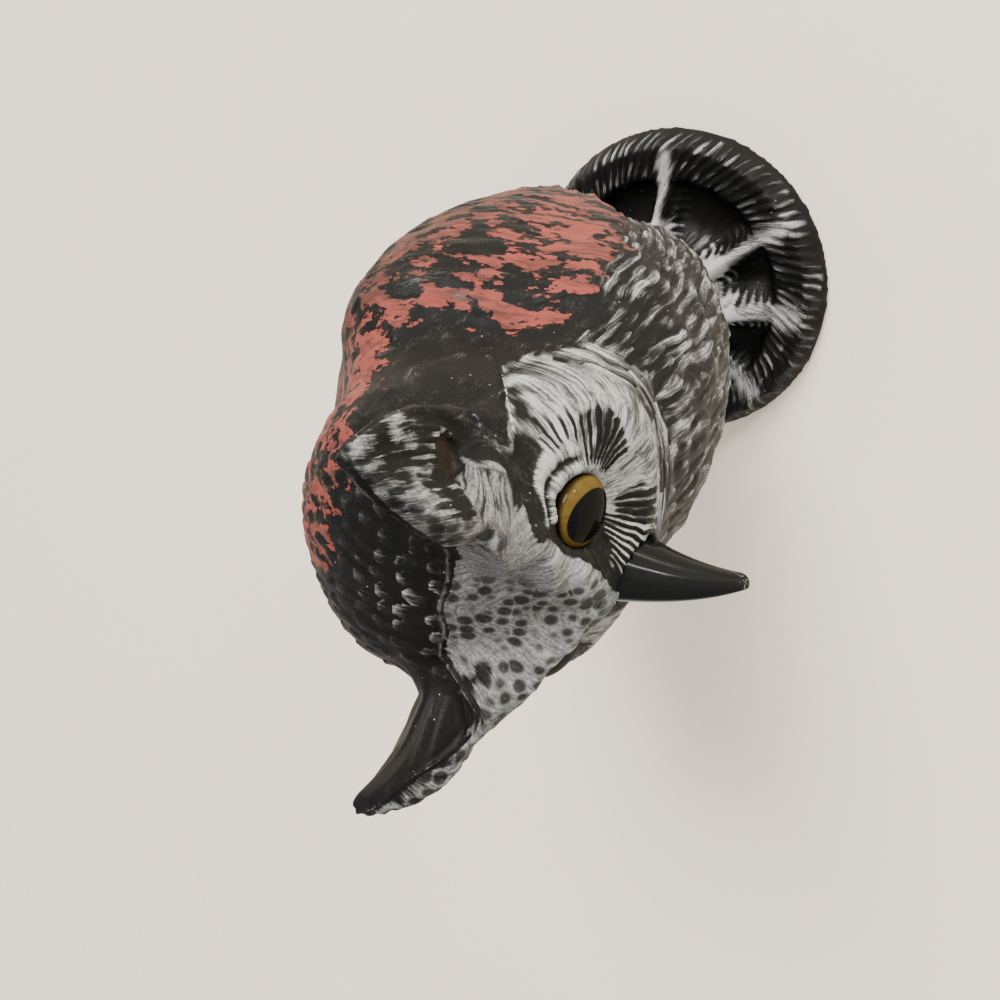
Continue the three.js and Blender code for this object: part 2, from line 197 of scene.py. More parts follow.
def behind_seam(p):
    """How far behind the parting line a point is, by a thin plate through the seam's points on each side"""
    def bend(a, b):
        square = ((a[:, None] - b[None]) ** 2).sum(-1)
        return square * np.log(square + 1e-9)

    places = np.stack([np.abs(p[:, 0]), p[:, 2]], 1)
    plates = []
    for climb in (RIGHT_CLIMB, LEFT_CLIMB):
        points = np.array(SEAM + climb + TUFT_MIDDLE, float)
        knots = points[:, [0, 2]]
        flat = np.hstack([np.ones((len(knots), 1)), knots])
        system = np.block([[bend(knots, knots), flat], [flat.T, np.zeros((3, 3))]])
        weights = np.linalg.solve(system, np.append(points[:, 1], [0, 0, 0]))
        plates.append(bend(places, knots) @ weights[:-3] + weights[-3] + places @ weights[-2:])
    left = smooth(p[:, 0], -8, 8)
    return p[:, 1] - plates[0] * (1 - left) - plates[1] * left


def feathers(across, down, width, length, seed, overlap=0.75):
    """Overlapping round-ended feathers. For each point: u across its feather (-1 to 1), v along it from root
    (0) to tip (1), and a repeatable number of its own."""
    row = np.floor(down / length)
    result = None
    for step in (1, 0):
        r = row - step
        shift = 0.5 * (r % 2) + 0.22 * scatter(r, r, seed=seed)
        column = np.floor(across / width + shift + 0.5)
        u = 2 * (across / width + shift - column)
        own = scatter(column, r, seed=seed + 1)
        reach = 1 + overlap * (0.75 + 0.3 * own)
        v = (down / length - r) / reach
        tip = np.sqrt(np.clip(1 - np.abs(u) ** 2.2, 0, 1))
        edge = (1 + (reach - 1) * tip) / reach
        here = v / edge
        if result is None:
            result = [u, here, own]
            covered = here <= 1
        else:
            under = [u, np.clip(here, 0, 1), own]
            result = [np.where(covered, old, new) for old, new in zip(result, under)]
    return result


# Each region of the carving gives its height in millimetres, a crest from 0 to 1 where dry paint catches, the
# share of paint that it takes, and where its brush strokes run: across them and along them in millimetres.
# Its other numbers are places and widths on the drawn figure in millimetres, degrees round an eye, the seeds
# of its noises, and shares of a height or of paint.


class Figure:
    """Places and zones that several regions of the carving share"""

    def __init__(self, p):
        self.p = p
        self.x, self.y, self.z = p.T
        self.half = np.stack([np.abs(self.x), self.y, self.z], 1)
        self.seam = behind_seam(p)
        self.wing_line = side_of(p, WING_EDGE)
        rise = smooth(self.z, 284, 296)
        self.front = -side_of(p, GREY_EDGE) * (1 - rise) - self.seam * rise
        out = np.array([-EYE_LOOK[1], EYE_LOOK[0], 0.0])
        out /= np.linalg.norm(out)
        lift = np.cross(EYE_LOOK, out)
        away = self.half - EYE_CENTRE
        self.eye_off = np.hypot(away @ out, away @ lift)
        self.eye_turn = np.degrees(np.arctan2(away @ lift, away @ out))
        self.stump = smooth(self.z, 50, 38)
        axis = (TUFT_TIP - TUFT_ROOT) / np.linalg.norm(TUFT_TIP - TUFT_ROOT)
        self.tuft_along = (self.half - TUFT_ROOT) @ axis
        spread = np.linalg.norm(self.half - TUFT_ROOT - self.tuft_along[:, None] * axis, axis=1)
        self.tuft = smooth(self.tuft_along, 1, 8) * smooth(spread, 32, 26) * smooth(self.half[:, 0], 30, 38)
        hollow = np.linalg.norm((self.half - EAR_HOLLOW) * [1.0, 0.8, 1.0], axis=1) + 1.2 * grain(p, 3, 7)
        self.pit = smooth(hollow, 7.0, 5.0) * smooth(self.front, 0, 1)
        self.inner = smooth(self.half[:, 0] - 42 - 0.71 * (self.z - 300), -2, -7) * self.tuft
        reach = np.interp(self.eye_turn, *zip(*FACE_REACH))
        reach = reach + (0.8 * grain(p, 3, 8) + 2.2 * grain(p, 5, 9)) * band(self.eye_turn, -40, 40, 8)
        self.face = smooth(self.eye_off, reach + 0.7, reach - 0.7) * smooth(self.front, -0.5, 2)
        self.face = self.face * smooth(self.y, -30, -40)


def region(mask, height, crest, paint, across, along, rib=0.0, rib_dark=0.0, dull=0.0):
    """rib is how strongly dark ribs cut into the paint, and rib_dark how broad they are, from -1 to 1. Their
    pitch is RIB_PITCH across the strokes. dull is how evenly a thin coat hides the strokes."""
    even = np.ones_like(mask)
    return {
        "mask": mask,
        "height": height,
        "crest": np.clip(crest, 0, 1),
        "paint": paint * even,
        "rib": rib * even,
        "rib_dark": rib_dark * even,
        "dull": dull * even,
        "stroke": np.stack([across, along], 1),
    }


def breast(f, size):
    """Shaggy locks that hang in columns in front, and sweep down and back on the flanks"""
    turn = np.arctan2(f.x, 10 - f.y)
    flank = smooth(np.abs(turn), 0.5, 1.4)
    across = turn * 80 + np.sign(f.x) * 0.55 * flank * (f.z - 130)
    across = across + 2.4 * grain(f.p, (10, 10, 19), 3) + 1.2 * grain(f.p, (5, 5, 9), 4)
    down = -f.z + 6 * grain(f.p, (11, 11, 22), 5)
    u, v, own = feathers(across, down, size.lock_width / MM, size.lock_length / MM, 11, 0.9)
    lock = (0.38 + 0.62 * v) * (1 - 0.95 * np.abs(u) ** 2.4)
    fine = combed(across, f.z, 1.4, 9, 8)
    ragged = grain(f.p, (4, 4, 8), 9)
    mask = smooth(f.front + 1.5 * grain(f.p, 4, 10), -1.5, 1.5) * smooth(f.z, 40, 52) * smooth(f.z, 296, 284)
    height = size.lock_relief / MM * (lock + 0.15 * fine)
    crest = 0.9 * lock + 0.36 * fine + 0.42 * ragged
    return region(mask, height, crest, 0.40 + 0.14 * own, across, f.z)


def wing(f, size):
    """Smooth overlapping coverts above, and stiff flight feathers that run down and back below"""
    along = WING_ALONG[0] * f.y + WING_ALONG[1] * f.z
    across = WING_ACROSS[0] * f.y + WING_ACROSS[1] * f.z + 1.5 * grain(f.p, 16, 21)
    u, v, _ = feathers(across, along, 12, 22, 23)
    low = smooth(f.z, 140, 108)
    covert = v * (1 - 0.5 * u * u)
    grooves = combed(across, along, 2.6, 16, 25)
    slanted = f.y * 0.87 + f.z * 0.5
    quill = np.abs(((slanted / 8.5) % 1) * 2 - 1) ** 0.7
    mask = smooth(f.wing_line, -2, 2) * smooth(f.z, 262, 240) * smooth(f.z, 30, 40)
    height = (0.5 * covert + 0.4 * grooves + 0.3 * grain(f.p, 5, 26)) * (1 - low) + 1.5 * (1 - quill) * low
    crest = (0.5 + 0.5 * grooves) * (1 - low) + (1 - quill) * low
    return region(mask, height, crest, -0.3, across, along, dull=smooth(f.y, 5, 45))


def nape_scales(f):
    """Rows of small feathers from the crown down the back of the head"""
    across = f.x * 1.2 + 2.5 * grain(f.p, 13, 31)
    down = f.y * 1.1 - f.z * 0.6 + 2.5 * grain(f.p, 12, 32)
    return feathers(across, down, 9.5, 9, 33)


def nape(f, size):
    """Scale-like feathers on the crown and the nape, with a scuffed patch on the crown"""
    u, v, _ = nape_scales(f)
    scale = v * (1 - 0.6 * u * u)
    fine = grain(f.p, (2.2, 4.5, 3), 34)
    mask = smooth(f.seam, 0, 1.5) * smooth(f.z, 240, 262) * (1 - f.tuft)
    scuff = near(f.p, CROWN_SCUFF, 15, (1, 0.8, 1))
    paint = -0.3 + 0.62 * scuff + 0.44 * smooth(v, 0.82, 0.96) * smooth(f.front, -45, -20)
    return region(mask, 1.3 * scale + 0.25 * fine, 0.95 * scale + 0.35 * fine, paint, f.x, f.y - f.z)


def neck(f, size):
    """The plain band between the face and the wing"""
    fine = grain(f.p, (2.5, 3, 5), 41)
    wide = grain(f.p, (14, 10, 10), 42)
    mask = smooth(f.front, 1.5, -1.5) * smooth(f.z, 196, 206) * smooth(f.z, 300, 290) * smooth(f.y, 12, 4)
    edge = hump(f.front + 1, 3) * band(f.z, 225, 300, 8)
    height = 0.2 * fine + 0.25 * wide
    return region(mask, height, 0.5 + 0.5 * fine, -0.16 + 0.3 * edge, f.y + 0.3 * f.z, f.z - 0.3 * f.y)


def forehead(f, size):
    """Fine hair that runs outward and down from the crown to the brows, with short ribs along the brows"""
    x, y, z = f.half.T
    aside = np.sqrt(x * x + 16)
    along = 0.46 * aside - 0.54 * y - 0.70 * z
    across = 0.85 * aside + 0.45 * y + 0.21 * z
    ribbed = hump(f.eye_off - 21, 7) * band(f.eye_turn, 86, 176, 8)
    hair = combed(across + grain(f.p, 6, 50), along, 1.3, 8, 51)
    ribs = combed(across, along, 2.3, 10, 52)
    wide = grain(f.p, (9, 9, 9), 54)
    # Painted shade: black in the groove in front of the parting line, and a dark spot of painted shade before
    # the right tuft's root
    shade = hump(f.front - 2.6, 1.9) * band(x, 22, 46, 6)
    patch = np.linalg.norm((f.p - BROW_SHADE_SPOT) * [0.7, 1, 1], axis=1)
    patch = smooth(patch + 2 * grain(f.p, 4, 53), 7.5, 5)
    mask = smooth(f.front, -0.6, 0.5) * smooth(z, 250, 262)
    height = 0.22 * hair + 0.5 * ribs * ribbed
    paint = 1.0 - 1.2 * shade - 0.9 * patch + 0.12 * wide
    crest = 0.6 + 0.1 * hair + 0.5 * ribs * ribbed
    return region(mask, height, crest, paint, across, along, dull=1 - 0.65 * ribbed)


def face(f, size):
    """The disc round each eye: fine radial strokes, lashes and a fan of dark wedges at its outer corner, bars
    and ribs towards the beak, a lid with its crease, and black shade under the brow"""
    turn, off = f.eye_turn, f.eye_off
    ragged = grain(f.p, 4.5, 61)
    round_turn = np.where(turn < -90, turn + 360, turn)
    across = np.radians(turn) * RIB_PITCH * size.face_ribs / 2 / math.pi
    across = across + 0.25 * RIB_PITCH * ragged * smooth(off, 12, 22)
    rib = np.cos(across * 2 * math.pi / RIB_PITCH)
    fine = combed(np.radians(turn) * 24, off, 1.1, 8, 62)
    fan = band(turn, -64, -17, 2) * band(off + 2 * ragged, 16, 25 + 9 * hump(turn + 38, 24), 1.2)
    lashes = band(turn, -19, 11, 3) * band(off + 2.5 * ragged, 23.5, 32, 1.5) * smooth(ragged, -0.6, -0.1)
    bars = band(turn + 2 * ragged, -120, -99, 3) * band(off + ragged, 20, 37, 2)
    lid_edge = 15 + 5 * smooth(round_turn, 222, 205)
    side = band(round_turn, 194, 243, 3) * band(off, lid_edge, 46, 1.5)
    shade = smooth(round_turn, 72, 82) * smooth(round_turn, 198, 190)
    shade = np.maximum(shade, band(round_turn, 190, 242, 5) * smooth(off, lid_edge + 1, lid_edge - 1))
    crease = hump(off - 18.0, 1.0) * band(turn, -10, 76, 6)
    lid = hump(off - 15.0, 1.7) * band(turn, -30, 76, 8)
    ridge = hump(off - 21.5, 1.8) * band(turn, 2, 66, 6)
    dark = smooth(turn, -24, -46)
    height = 0.14 * fine + 0.45 * (fan + side + 0.7 * bars) * rib - 0.35 * fan - 0.2 * bars - 0.3 * lashes
    height = height + 1.2 * lid - 0.9 * crease + 0.8 * ridge - 0.6 * shade
    crest = 0.55 + 0.32 * fine + 0.15 * grain(f.p, 1.8, 63)
    paint = 1.0 + 0.1 * ragged - 0.3 * fan - 0.45 * bars - 1.6 * shade - 0.9 * crease + 0.2 * ridge
    paint = paint - 0.25 * smooth(off, 34, 44) * smooth(turn, -60, -20)
    cut = np.clip(fan + 0.8 * lashes + 0.8 * bars + 0.9 * side, 0, 1)
    rib_dark = -0.45 * lashes + fan * (0.05 + 0.65 * dark) + 0.35 * bars + 0.1 * side
    return region(f.face, height, crest, np.clip(paint, -0.4, 1.25), across, off, cut, rib_dark)


def ruff(f, size):
    """Curled feathers in rows round the outside of the face"""
    arc = np.radians(f.eye_turn) * 46
    off = f.eye_off + 2.2 * grain(f.p, 9, 65)
    u, v, own = feathers(off, arc + 2 * grain(f.p, 6, 64), 4.8, 14, 66, 0.8)
    curl = (0.3 + 0.7 * v) * (1 - 0.9 * np.abs(u) ** 2.2)
    fine = combed(off, arc, 1.5, 9, 68)
    lower = smooth(f.eye_off, 42, 46) * band(f.eye_turn, -115, -20, 8)
    mask = band(f.eye_turn, -150, 2, 6) * band(off, 38, 60, 3) * smooth(f.front, 2, 6) * smooth(f.y, -30, -40)
    mask = mask * np.maximum(lower, smooth(f.eye_turn, -38, -60))
    return region(mask, 1.3 * curl + 0.2 * fine, 0.95 * curl + 0.3 * fine, 0.58 + 0.2 * own, off, arc)


def tuft_front(f, size):
    """The face of an ear tuft: ribs above, a dark pit, a pale fan of hair below it, a streaked outer ridge"""
    x, y, z = f.half.T
    upper = smooth(z + 0.5 * (y + 60), 316, 322)
    ridge = smooth(x - 0.55 * (z - 300), 49, 60) * (1 - upper)
    warp = grain(f.p, (6, 6, 9), 71)
    mottle = grain(f.p, (3.5, 5, 4), 72)
    bars = (0.787 * x + 0.52 * y - 0.373 * z + 0.7 * warp) * RIB_PITCH / 3.2
    rib = np.cos(bars * 2 * math.pi / RIB_PITCH)
    ribbed = upper * band(x, 53, 73, 3) * smooth(z, 346, 338) * smooth(grain(f.p, (3, 6, 5), 74), -0.3, 0.3)
    ribbed = ribbed * (1 - f.inner)
    fan = 0.07 * x - 0.84 * y - 0.54 * z + 1.5 * warp
    across = np.where(ridge > 0.5, 0.78 * x + 0.07 * y - 0.63 * z, fan)
    across = np.where(upper > 0.5, bars, across)
    along = np.where(ridge > 0.5, 0.9 * y + 0.35 * z, -0.8 * x - 0.37 * y + 0.47 * z)
    along = np.where(upper > 0.5, -y - z, along)
    fine = combed(across, along, 1.3, 8, 73)
    mask = f.tuft * smooth(f.front, -0.3, 0.5)
    height = 0.5 * rib * ribbed + 0.3 * fine + 0.3 * mottle * upper - 2.0 * f.pit
    crest = 0.5 + 0.35 * fine + 0.8 * mottle * np.maximum(upper, ridge) * (1 - 0.5 * f.inner)
    paint = 0.86 - 0.44 * upper * (1 - 0.6 * f.inner) + 0.15 * ribbed - 0.24 * ridge - 1.4 * f.pit
    dull = 0.9 * (1 - upper) * (1 - ridge) + 0.5 * upper + 0.4 * ridge
    return region(mask, height, crest, paint, across, along, ribbed, 0.0, dull)


def tuft_back(f, size):
    """The back of an ear tuft, with hair that fans from its root"""
    side = np.cross([0.556, 0.294, 0.778], [0.7, -0.675, -0.24])
    across = (f.half - TUFT_ROOT) @ side
    fan = np.arctan2(across, f.tuft_along + 26) * 52
    groove = combed(fan, f.tuft_along, 2.4, 22, 81)
    mask = f.tuft * smooth(f.front, 0.5, -0.3)
    return region(mask, 0.7 * groove, 0.45 + 0.5 * groove, -0.2, fan, f.tuft_along)


def stump(f, size):
    """Bark: slanting ribs in two rows on the rim, bright crests on the roots, black pockets between them"""
    r = np.hypot(f.x, f.y)
    bearing = np.arctan2(f.y, f.x)
    slanted = bearing * RIM_RADIUS + 0.7 * (r - 70) + 2.5 * grain(f.p, 16, 91)
    rib = np.cos(slanted * 2 * math.pi / size.bark_pitch * MM)
    knots = combed(slanted, r, 6, 7, 92)
    rim = smooth(r, RIM_LIP - 1.5, RIM_LIP + 1.5)
    rows = 0.8 * band(r, 68, 78, 1.5) + band(r, 82, 90, 1)
    root = np.zeros_like(r)
    aside = np.full_like(r, np.inf)
    for degrees, width in ROOTS:
        angle = bearing - math.radians(degrees)
        off = np.abs(np.arctan2(np.sin(angle), np.cos(angle)) * r)
        root = np.maximum(root, hump(off, width))
        aside = np.minimum(aside, off)
    root = root * smooth(r, 88, 78)
    collar = smooth(r + 4 * grain(f.p, 7, 95), 49, 42)
    flank = band(aside, 5, 12, 2) * (1 - rim)
    stripes = np.cos(r * 2 * math.pi / 4.2 + 2 * grain(f.p, 8, 94))
    stringy = combed(bearing * 40, r, 2.2, 14, 93)
    top = smooth(f.z, 0.5, 2.5)
    ribbed = 0.9 * rib * rim * (0.6 + 0.5 * knots) * smooth(r, 90, 86)
    height = (ribbed + (0.5 * stringy + 0.4 * stripes * flank) * (1 - rim)) * top
    crest = rim * rows * (0.2 + 0.42 * rib + 0.5 * knots) * (1 - root)
    crest = crest + (1 - rim) * (0.3 + 0.3 * stringy + 0.25 * stripes * flank)
    crest = crest + root * (0.75 + 0.25 * stringy)
    paint = rim * 0.55 + (1 - rim) * (-0.25 + 1.0 * collar + 0.2 * flank * stripes)
    paint = paint + 0.85 * root * (1 - 0.5 * rim)
    return region(f.stump, height, crest, np.clip(paint, -0.4, 1) * top, slanted, r)


def tail(f, size):
    """Flat stiff feathers behind the trunk"""
    quill = np.abs(((f.x / 12) % 1) * 2 - 1) ** 0.6
    mask = smooth(f.y, 34, 42) * smooth(f.z, 96, 84) * smooth(f.z, 24, 30)
    return region(mask, 1.1 * (1 - quill), 1 - quill, 0.1, f.x, f.z)


# A later region covers an earlier one
REGIONS = (nape, neck, wing, breast, tail, ruff, forehead, face, tuft_back, tuft_front, stump)


def coral_field(f):
    """How far inside the coral paint a point is: it is fullest low on the wing and beside the neck, has bare
    patches between, and leaves the nape's scales dark"""
    p = f.half
    behind = side_of(p, CORAL_EDGE)
    head = smooth(f.z, 280, 300)
    crown = smooth(f.z, 286, 298)
    field = behind - 26 * smooth(f.x, 0, -26) * head
    field = field - 30 * f.tuft - 60 * f.stump - 30 * smooth(f.z, 80, 60)
    full = 5 * near(p[:, 1:], [-24, 177], 18, 1.0)
    full = full + 5 * hump(behind - 6, 6) * band(f.z, 222, 288, 6)
    bare = np.zeros_like(field)
    for y, z, radius in BARE:
        bare = np.maximum(bare, near(p[:, 1:], [y, z], radius, 1.0))
    u, v, _ = nape_scales(f)
    scale = hump(u, 0.7) * band(v, 0.15, 0.75, 0.12) * crown
    return np.minimum(1.6 * field, 3.5 + full + 4 * crown) - 9 * bare - 10 * scale


def eye_shade(f):
    """Painted shade: the black between the brow and the root of each tuft, sharp by the eye, streaky on the
    tuft's side
    """
    turn = f.eye_turn + 5 * grain(f.p, 6, 101)
    streak = combed(0.07 * f.half[:, 0] - 0.84 * f.y - 0.54 * f.z, f.z, 1.5, 9, 102)
    start = 24.5 - 3 * smooth(f.eye_turn, 42, 60)
    reach = np.interp(f.eye_turn, *zip(*SHADE_REACH))
    shade = band(turn, 20, 84, 6) * smooth(f.eye_off, start - 1.0, start + 1.0)
    return shade * smooth(f.eye_off + 3 * streak, reach + 5, reach - 2) * smooth(f.front, 0, 3)


def carve(p, size):
    """The whole relief at points in drawn millimetres, and the values that the paint reads"""
    f = Figure(p)
    height = np.zeros(len(p))
    values = {"crest": height + 0.5, "paint": height - 0.3, "rib": height, "rib_dark": height, "dull": height}
    stroke = np.stack([p[:, 0], p[:, 2]], 1)
    for number, make in enumerate(REGIONS):
        made = make(f, size)
        m = made["mask"]
        height = height * (1 - m) + made["height"] * m
        for name in values:
            values[name] = values[name] * (1 - m) + made[name] * m
        # Each region's strokes start at another place in the brush marks, by whole ribs
        chosen = m > 0.5
        stroke[chosen] = made["stroke"][chosen] + [RIB_PITCH * 40 * number, 137 * number]

    # Painted shade, black beside the brow, and flecks in the grey near its edge
    shade = eye_shade(f)
    paint = values["paint"] - 1.15 * shade
    height = height - 0.7 * shade
    flecked = smooth(f.front, 14, 3) * band(f.z, 236, 292, 5) * smooth(f.half[:, 0], 45, 55)
    flecked = flecked * smooth(f.tuft_along, 4, 0)
    paint = paint - flecked * (0.3 - 1.0 * grain(f.p, (3, 4, 4), 105))

    # The parting line stands up between two grooves, and its edge is worn pale over the head
    line = smooth(f.z, 232, 244)
    ridge = hump(f.seam - 0.2, 1.0) * line
    height = height + size.seam_relief / MM * ridge - 0.4 * hump(f.seam - 2.5, 1.1) * line
    height = height - 0.6 * f.tuft * hump(f.front - 1.2, 0.9)
    paint = paint - 1.4 * hump(f.front - 1.0, 0.6) * smooth(f.z, 292, 300)
    pale = smooth(f.z, 288, 300) * (1 - 0.85 * f.tuft * smooth(f.x, 0, 20))
    values["paint"] = np.maximum(paint, 0.8 * hump(f.seam - 0.3, 0.5) * pale)

    # Dark spots over the middle and right of the forehead and on the inner side of each tuft
    grey = smooth(f.front, 0.5, 2)
    spots = smooth(f.x, 24, 10) * grey * smooth(f.z, 262, 272) * (1 - smooth(f.eye_off, 24, 20))
    spots = np.maximum(spots * smooth(f.front, 48, 36), f.inner * grey * smooth(f.z, 310, 318))
    scrape = hump(f.seam, 0.55) * band(f.z, 262, 288, 3) * smooth(f.x, 40, 50)
    values.update(coral=coral_field(f), spots=spots, pit=f.pit, scrape=scrape)
    return height, values, stroke


# Mesh helpers


def coordinates(mesh):
    co = np.empty(len(mesh.vertices) * 3)
    mesh.vertices.foreach_get("co", co)
    return co.reshape(-1, 3)


def give_coordinates(mesh, co):
    mesh.vertices.foreach_set("co", np.ascontiguousarray(co, np.float32).ravel())
    mesh.update()


def new_piece(name, mesh):
    piece = bpy.data.objects.new(name, mesh)
    bpy.context.scene.collection.objects.link(piece)
    return piece


def apply_modifier(piece, kind, **settings):
    """Adds a modifier, and leaves its result as the piece's mesh"""
    modifier = piece.modifiers.new(kind, kind)
    for name, value in settings.items():
        setattr(modifier, name, value)
    graph = bpy.context.evaluated_depsgraph_get()
    made = bpy.data.meshes.new_from_object(piece.evaluated_get(graph))
    old = piece.data
    piece.modifiers.clear()
    piece.data = made
    bpy.data.meshes.remove(old)


def relax(mesh, rounds, hold):
    """Rubs out the solid's facets without shrinking the form. hold is 1 where a point stays put"""
    edges = np.empty(len(mesh.edges) * 2, np.int64)
    mesh.edges.foreach_get("vertices", edges)
    a, b = edges.reshape(-1, 2).T
    co = coordinates(mesh)
    count = np.bincount(np.concatenate([a, b]), minlength=len(co))[:, None]
    for step in [0.5, -0.52] * rounds:
        total = np.stack([
            np.bincount(a, co[b, axis], len(co)) + np.bincount(b, co[a, axis], len(co)) for axis in range(3)
        ], 1)
        co = co + step * (1 - hold[:, None]) * (total / count - co)
    give_coordinates(mesh, co)


def keep_in_box(mesh, co, node):
    """Gives the mesh these points, pressed back inside the box of its solid"""
    low, high = (np.array(corner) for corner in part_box(node))
    give_coordinates(mesh, np.clip(co, low, high))


def give_values(mesh, name, values, kind="FLOAT"):
    attribute = mesh.attributes.new(name, kind, "POINT")
    key = "value" if kind == "FLOAT" else "vector"
    attribute.data.foreach_set(key, np.ascontiguousarray(values, np.float32).ravel())


def shade_smooth(mesh):
    mesh.polygons.foreach_set("use_smooth", np.ones(len(mesh.polygons), bool))


def surface(name, rows):
    """A closed mesh from rings of points, with a cap at each end"""
    rings, sides = len(rows), len(rows[0])
    points = [tuple(point) for row in rows for point in row]
    faces = []
    for i in range(rings - 1):
        for j in range(sides):
            k = (j + 1) % sides
            faces.append((i * sides + j, i * sides + k, (i + 1) * sides + k, (i + 1) * sides + j))
    faces.append(tuple(reversed(range(sides))))
    faces.append(tuple(range((rings - 1) * sides, rings * sides)))
    mesh = bpy.data.meshes.new(name)
    mesh.from_pydata(points, [], faces)
    mesh.update()
    return mesh


# Materials


def add(tree, kind, links=None, out=0, **settings):
    """Adds a shader node with its settings, and returns its output. links maps a socket to a value or to
    another node's output."""
    made = tree.nodes.new("ShaderNode" + kind)
    for name, value in settings.items():
        setattr(made, name, value)
    for socket, value in (links or {}).items():
        if isinstance(value, bpy.types.NodeSocket):
            tree.links.new(value, made.inputs[socket])
        else:
            made.inputs[socket].default_value = value
    return made.outputs[out]


def new_material(name):
    material = bpy.data.materials.new(name)
    material.use_nodes = True
    material.node_tree.nodes.clear()
    return material


def finish_material(material, shader):
    output = material.node_tree.nodes.new("ShaderNodeOutputMaterial")
    material.node_tree.links.new(shader, output.inputs["Surface"])
    return material


def painted_polyethylene(size):
    """Blow-moulded polyethylene, sprayed matt black, then dry-brushed with grey-white on every crest in front
    and with coral red behind: the black stays in the recesses, and the brush leaves ragged streaks."""
    material = new_material("dry_brushed_polyethylene")
    tree = material.node_tree
    carved = {}
    for name in ("crest", "paint", "rib", "rib_dark", "dull", "spots", "coral", "pit", "scrape"):
        carved[name] = add(tree, "Attribute", out="Fac", attribute_name=name)
    stroke = add(tree, "Attribute", out="Vector", attribute_name="stroke")
    place = add(tree, "TexCoord", out="Object")
    swept = add(tree, "Mapping", {"Vector": place, "Rotation": (math.radians(147), 0, 0)})

    # Brush marks run along the strokes, and the coral's flakes down and back. Sizes are in millimetres: the
    # strokes are given in them, and places in metres. Then come each noise's detail and roughness.
    marks = {}
    for name, vector, unit, sizes, detail, rough in (
        ("bristle", stroke, 1, (0.8, 9, 1), 4.0, 0.6),
        ("clump", stroke, 1, (3.2, 16, 1), 3.0, 0.6),
        ("patch", place, MM, (14, 14, 14), 4.0, 0.6),
        ("speckle", place, MM, (1.1, 1.1, 1.1), 2.0, 0.7),
        ("flake", swept, MM, (7, 14, 7), 3.0, 0.55),
        ("thin_flake", swept, MM, (1.8, 4.0, 1.8), 4.0, 0.6),
        ("worn", swept, MM, (4, 30, 4), 4.0, 0.65),
    ):
        placed = add(tree, "Mapping", {"Vector": vector, "Scale": [1 / (unit * side) for side in sizes]})
        links = {"Vector": placed, "Scale": 1.0, "Detail": detail, "Roughness": rough}
        marks[name] = add(tree, "TexNoise", links, out="Fac")
    bristle, speckle = marks["bristle"], marks["speckle"]

    # catch runs from about 0.7 in a recess to 1.3 on a crest, and grey holds where it is over what is needed
    catch = add(tree, "Math", {0: marks["clump"], 1: 0.35}, operation="MULTIPLY")
    for mark, share in ((bristle, 0.85), (carved["crest"], 0.55), (marks["patch"], 0.30)):
        catch = add(tree, "Math", {0: mark, 1: share, 2: catch}, operation="MULTIPLY_ADD")
    need = add(tree, "Math", {0: carved["paint"], 1: -0.55, 2: 1.30}, operation="MULTIPLY_ADD")
    over = add(tree, "Math", {0: catch, 1: need}, operation="SUBTRACT")

    # Dark ribs across the strokes, with edges as ragged as the bristles
    across = add(tree, "SeparateXYZ", {0: stroke}, out="X")
    turns = add(tree, "Math", {0: across, 1: 2 * math.pi / RIB_PITCH}, operation="MULTIPLY")
    turns = add(tree, "Math", {0: marks["patch"], 1: 1.5, 2: turns}, operation="MULTIPLY_ADD")
    wave = add(tree, "Math", {0: turns}, operation="COSINE")
    wave = add(tree, "Math", {0: wave, 1: 0.8}, operation="SUBTRACT")
    wave = add(tree, "Math", {0: bristle, 1: 1.6, 2: wave}, operation="MULTIPLY_ADD")
    ends = {"Value": wave}
    for end, softness in (("From Min", -0.35), ("From Max", 0.35)):
        links = {0: carved["rib_dark"], 1: -1.0, 2: softness}
        ends[end] = add(tree, "Math", links, operation="MULTIPLY_ADD")
    rib = add(tree, "MapRange", ends, interpolation_type="SMOOTHSTEP")
    rib = add(tree, "Math", {0: rib, 1: carved["rib"]}, operation="MULTIPLY")
    over = add(tree, "Math", {0: rib, 1: -0.6, 2: over}, operation="MULTIPLY_ADD")
    links = {"Value": over, "From Min": -0.07, "From Max": 0.16}
    grey_share = add(tree, "MapRange", links, interpolation_type="SMOOTHSTEP")

    # Painted spots 4.6 by 5.6 mm apart on the slope of the forehead, of uneven size
    slope = add(tree, "Mapping", {"Vector": place, "Rotation": (-math.pi / 4, 0, 0)})
    slope = add(tree, "Mapping", {"Vector": slope, "Scale": (1 / (4.6 * MM), 1 / (5.6 * MM), 0)})
    away = add(tree, "TexVoronoi", {"Vector": slope, "Scale": 1.0, "Randomness": 0.6}, out="Distance")
    spot = add(tree, "Math", {0: bristle, 1: 0.5, 2: -0.14}, operation="MULTIPLY_ADD")
    for mark, share in ((away.node.outputs["Color"], 0.34), (speckle, 0.3)):
        spot = add(tree, "Math", {0: mark, 1: share, 2: spot}, operation="MULTIPLY_ADD")
    spot = add(tree, "Math", {0: spot, 1: away}, operation="SUBTRACT")
    links = {"Value": spot, "From Min": -0.12, "From Max": 0.10}
    spot = add(tree, "MapRange", links, interpolation_type="SMOOTHSTEP")
    spot = add(tree, "Math", {0: spot, 1: carved["spots"]}, operation="MULTIPLY")
    kept = add(tree, "Math", {0: spot, 1: -0.88, 2: 1.0}, operation="MULTIPLY_ADD")
    grey_share = add(tree, "Math", {0: grey_share, 1: kept}, operation="MULTIPLY")

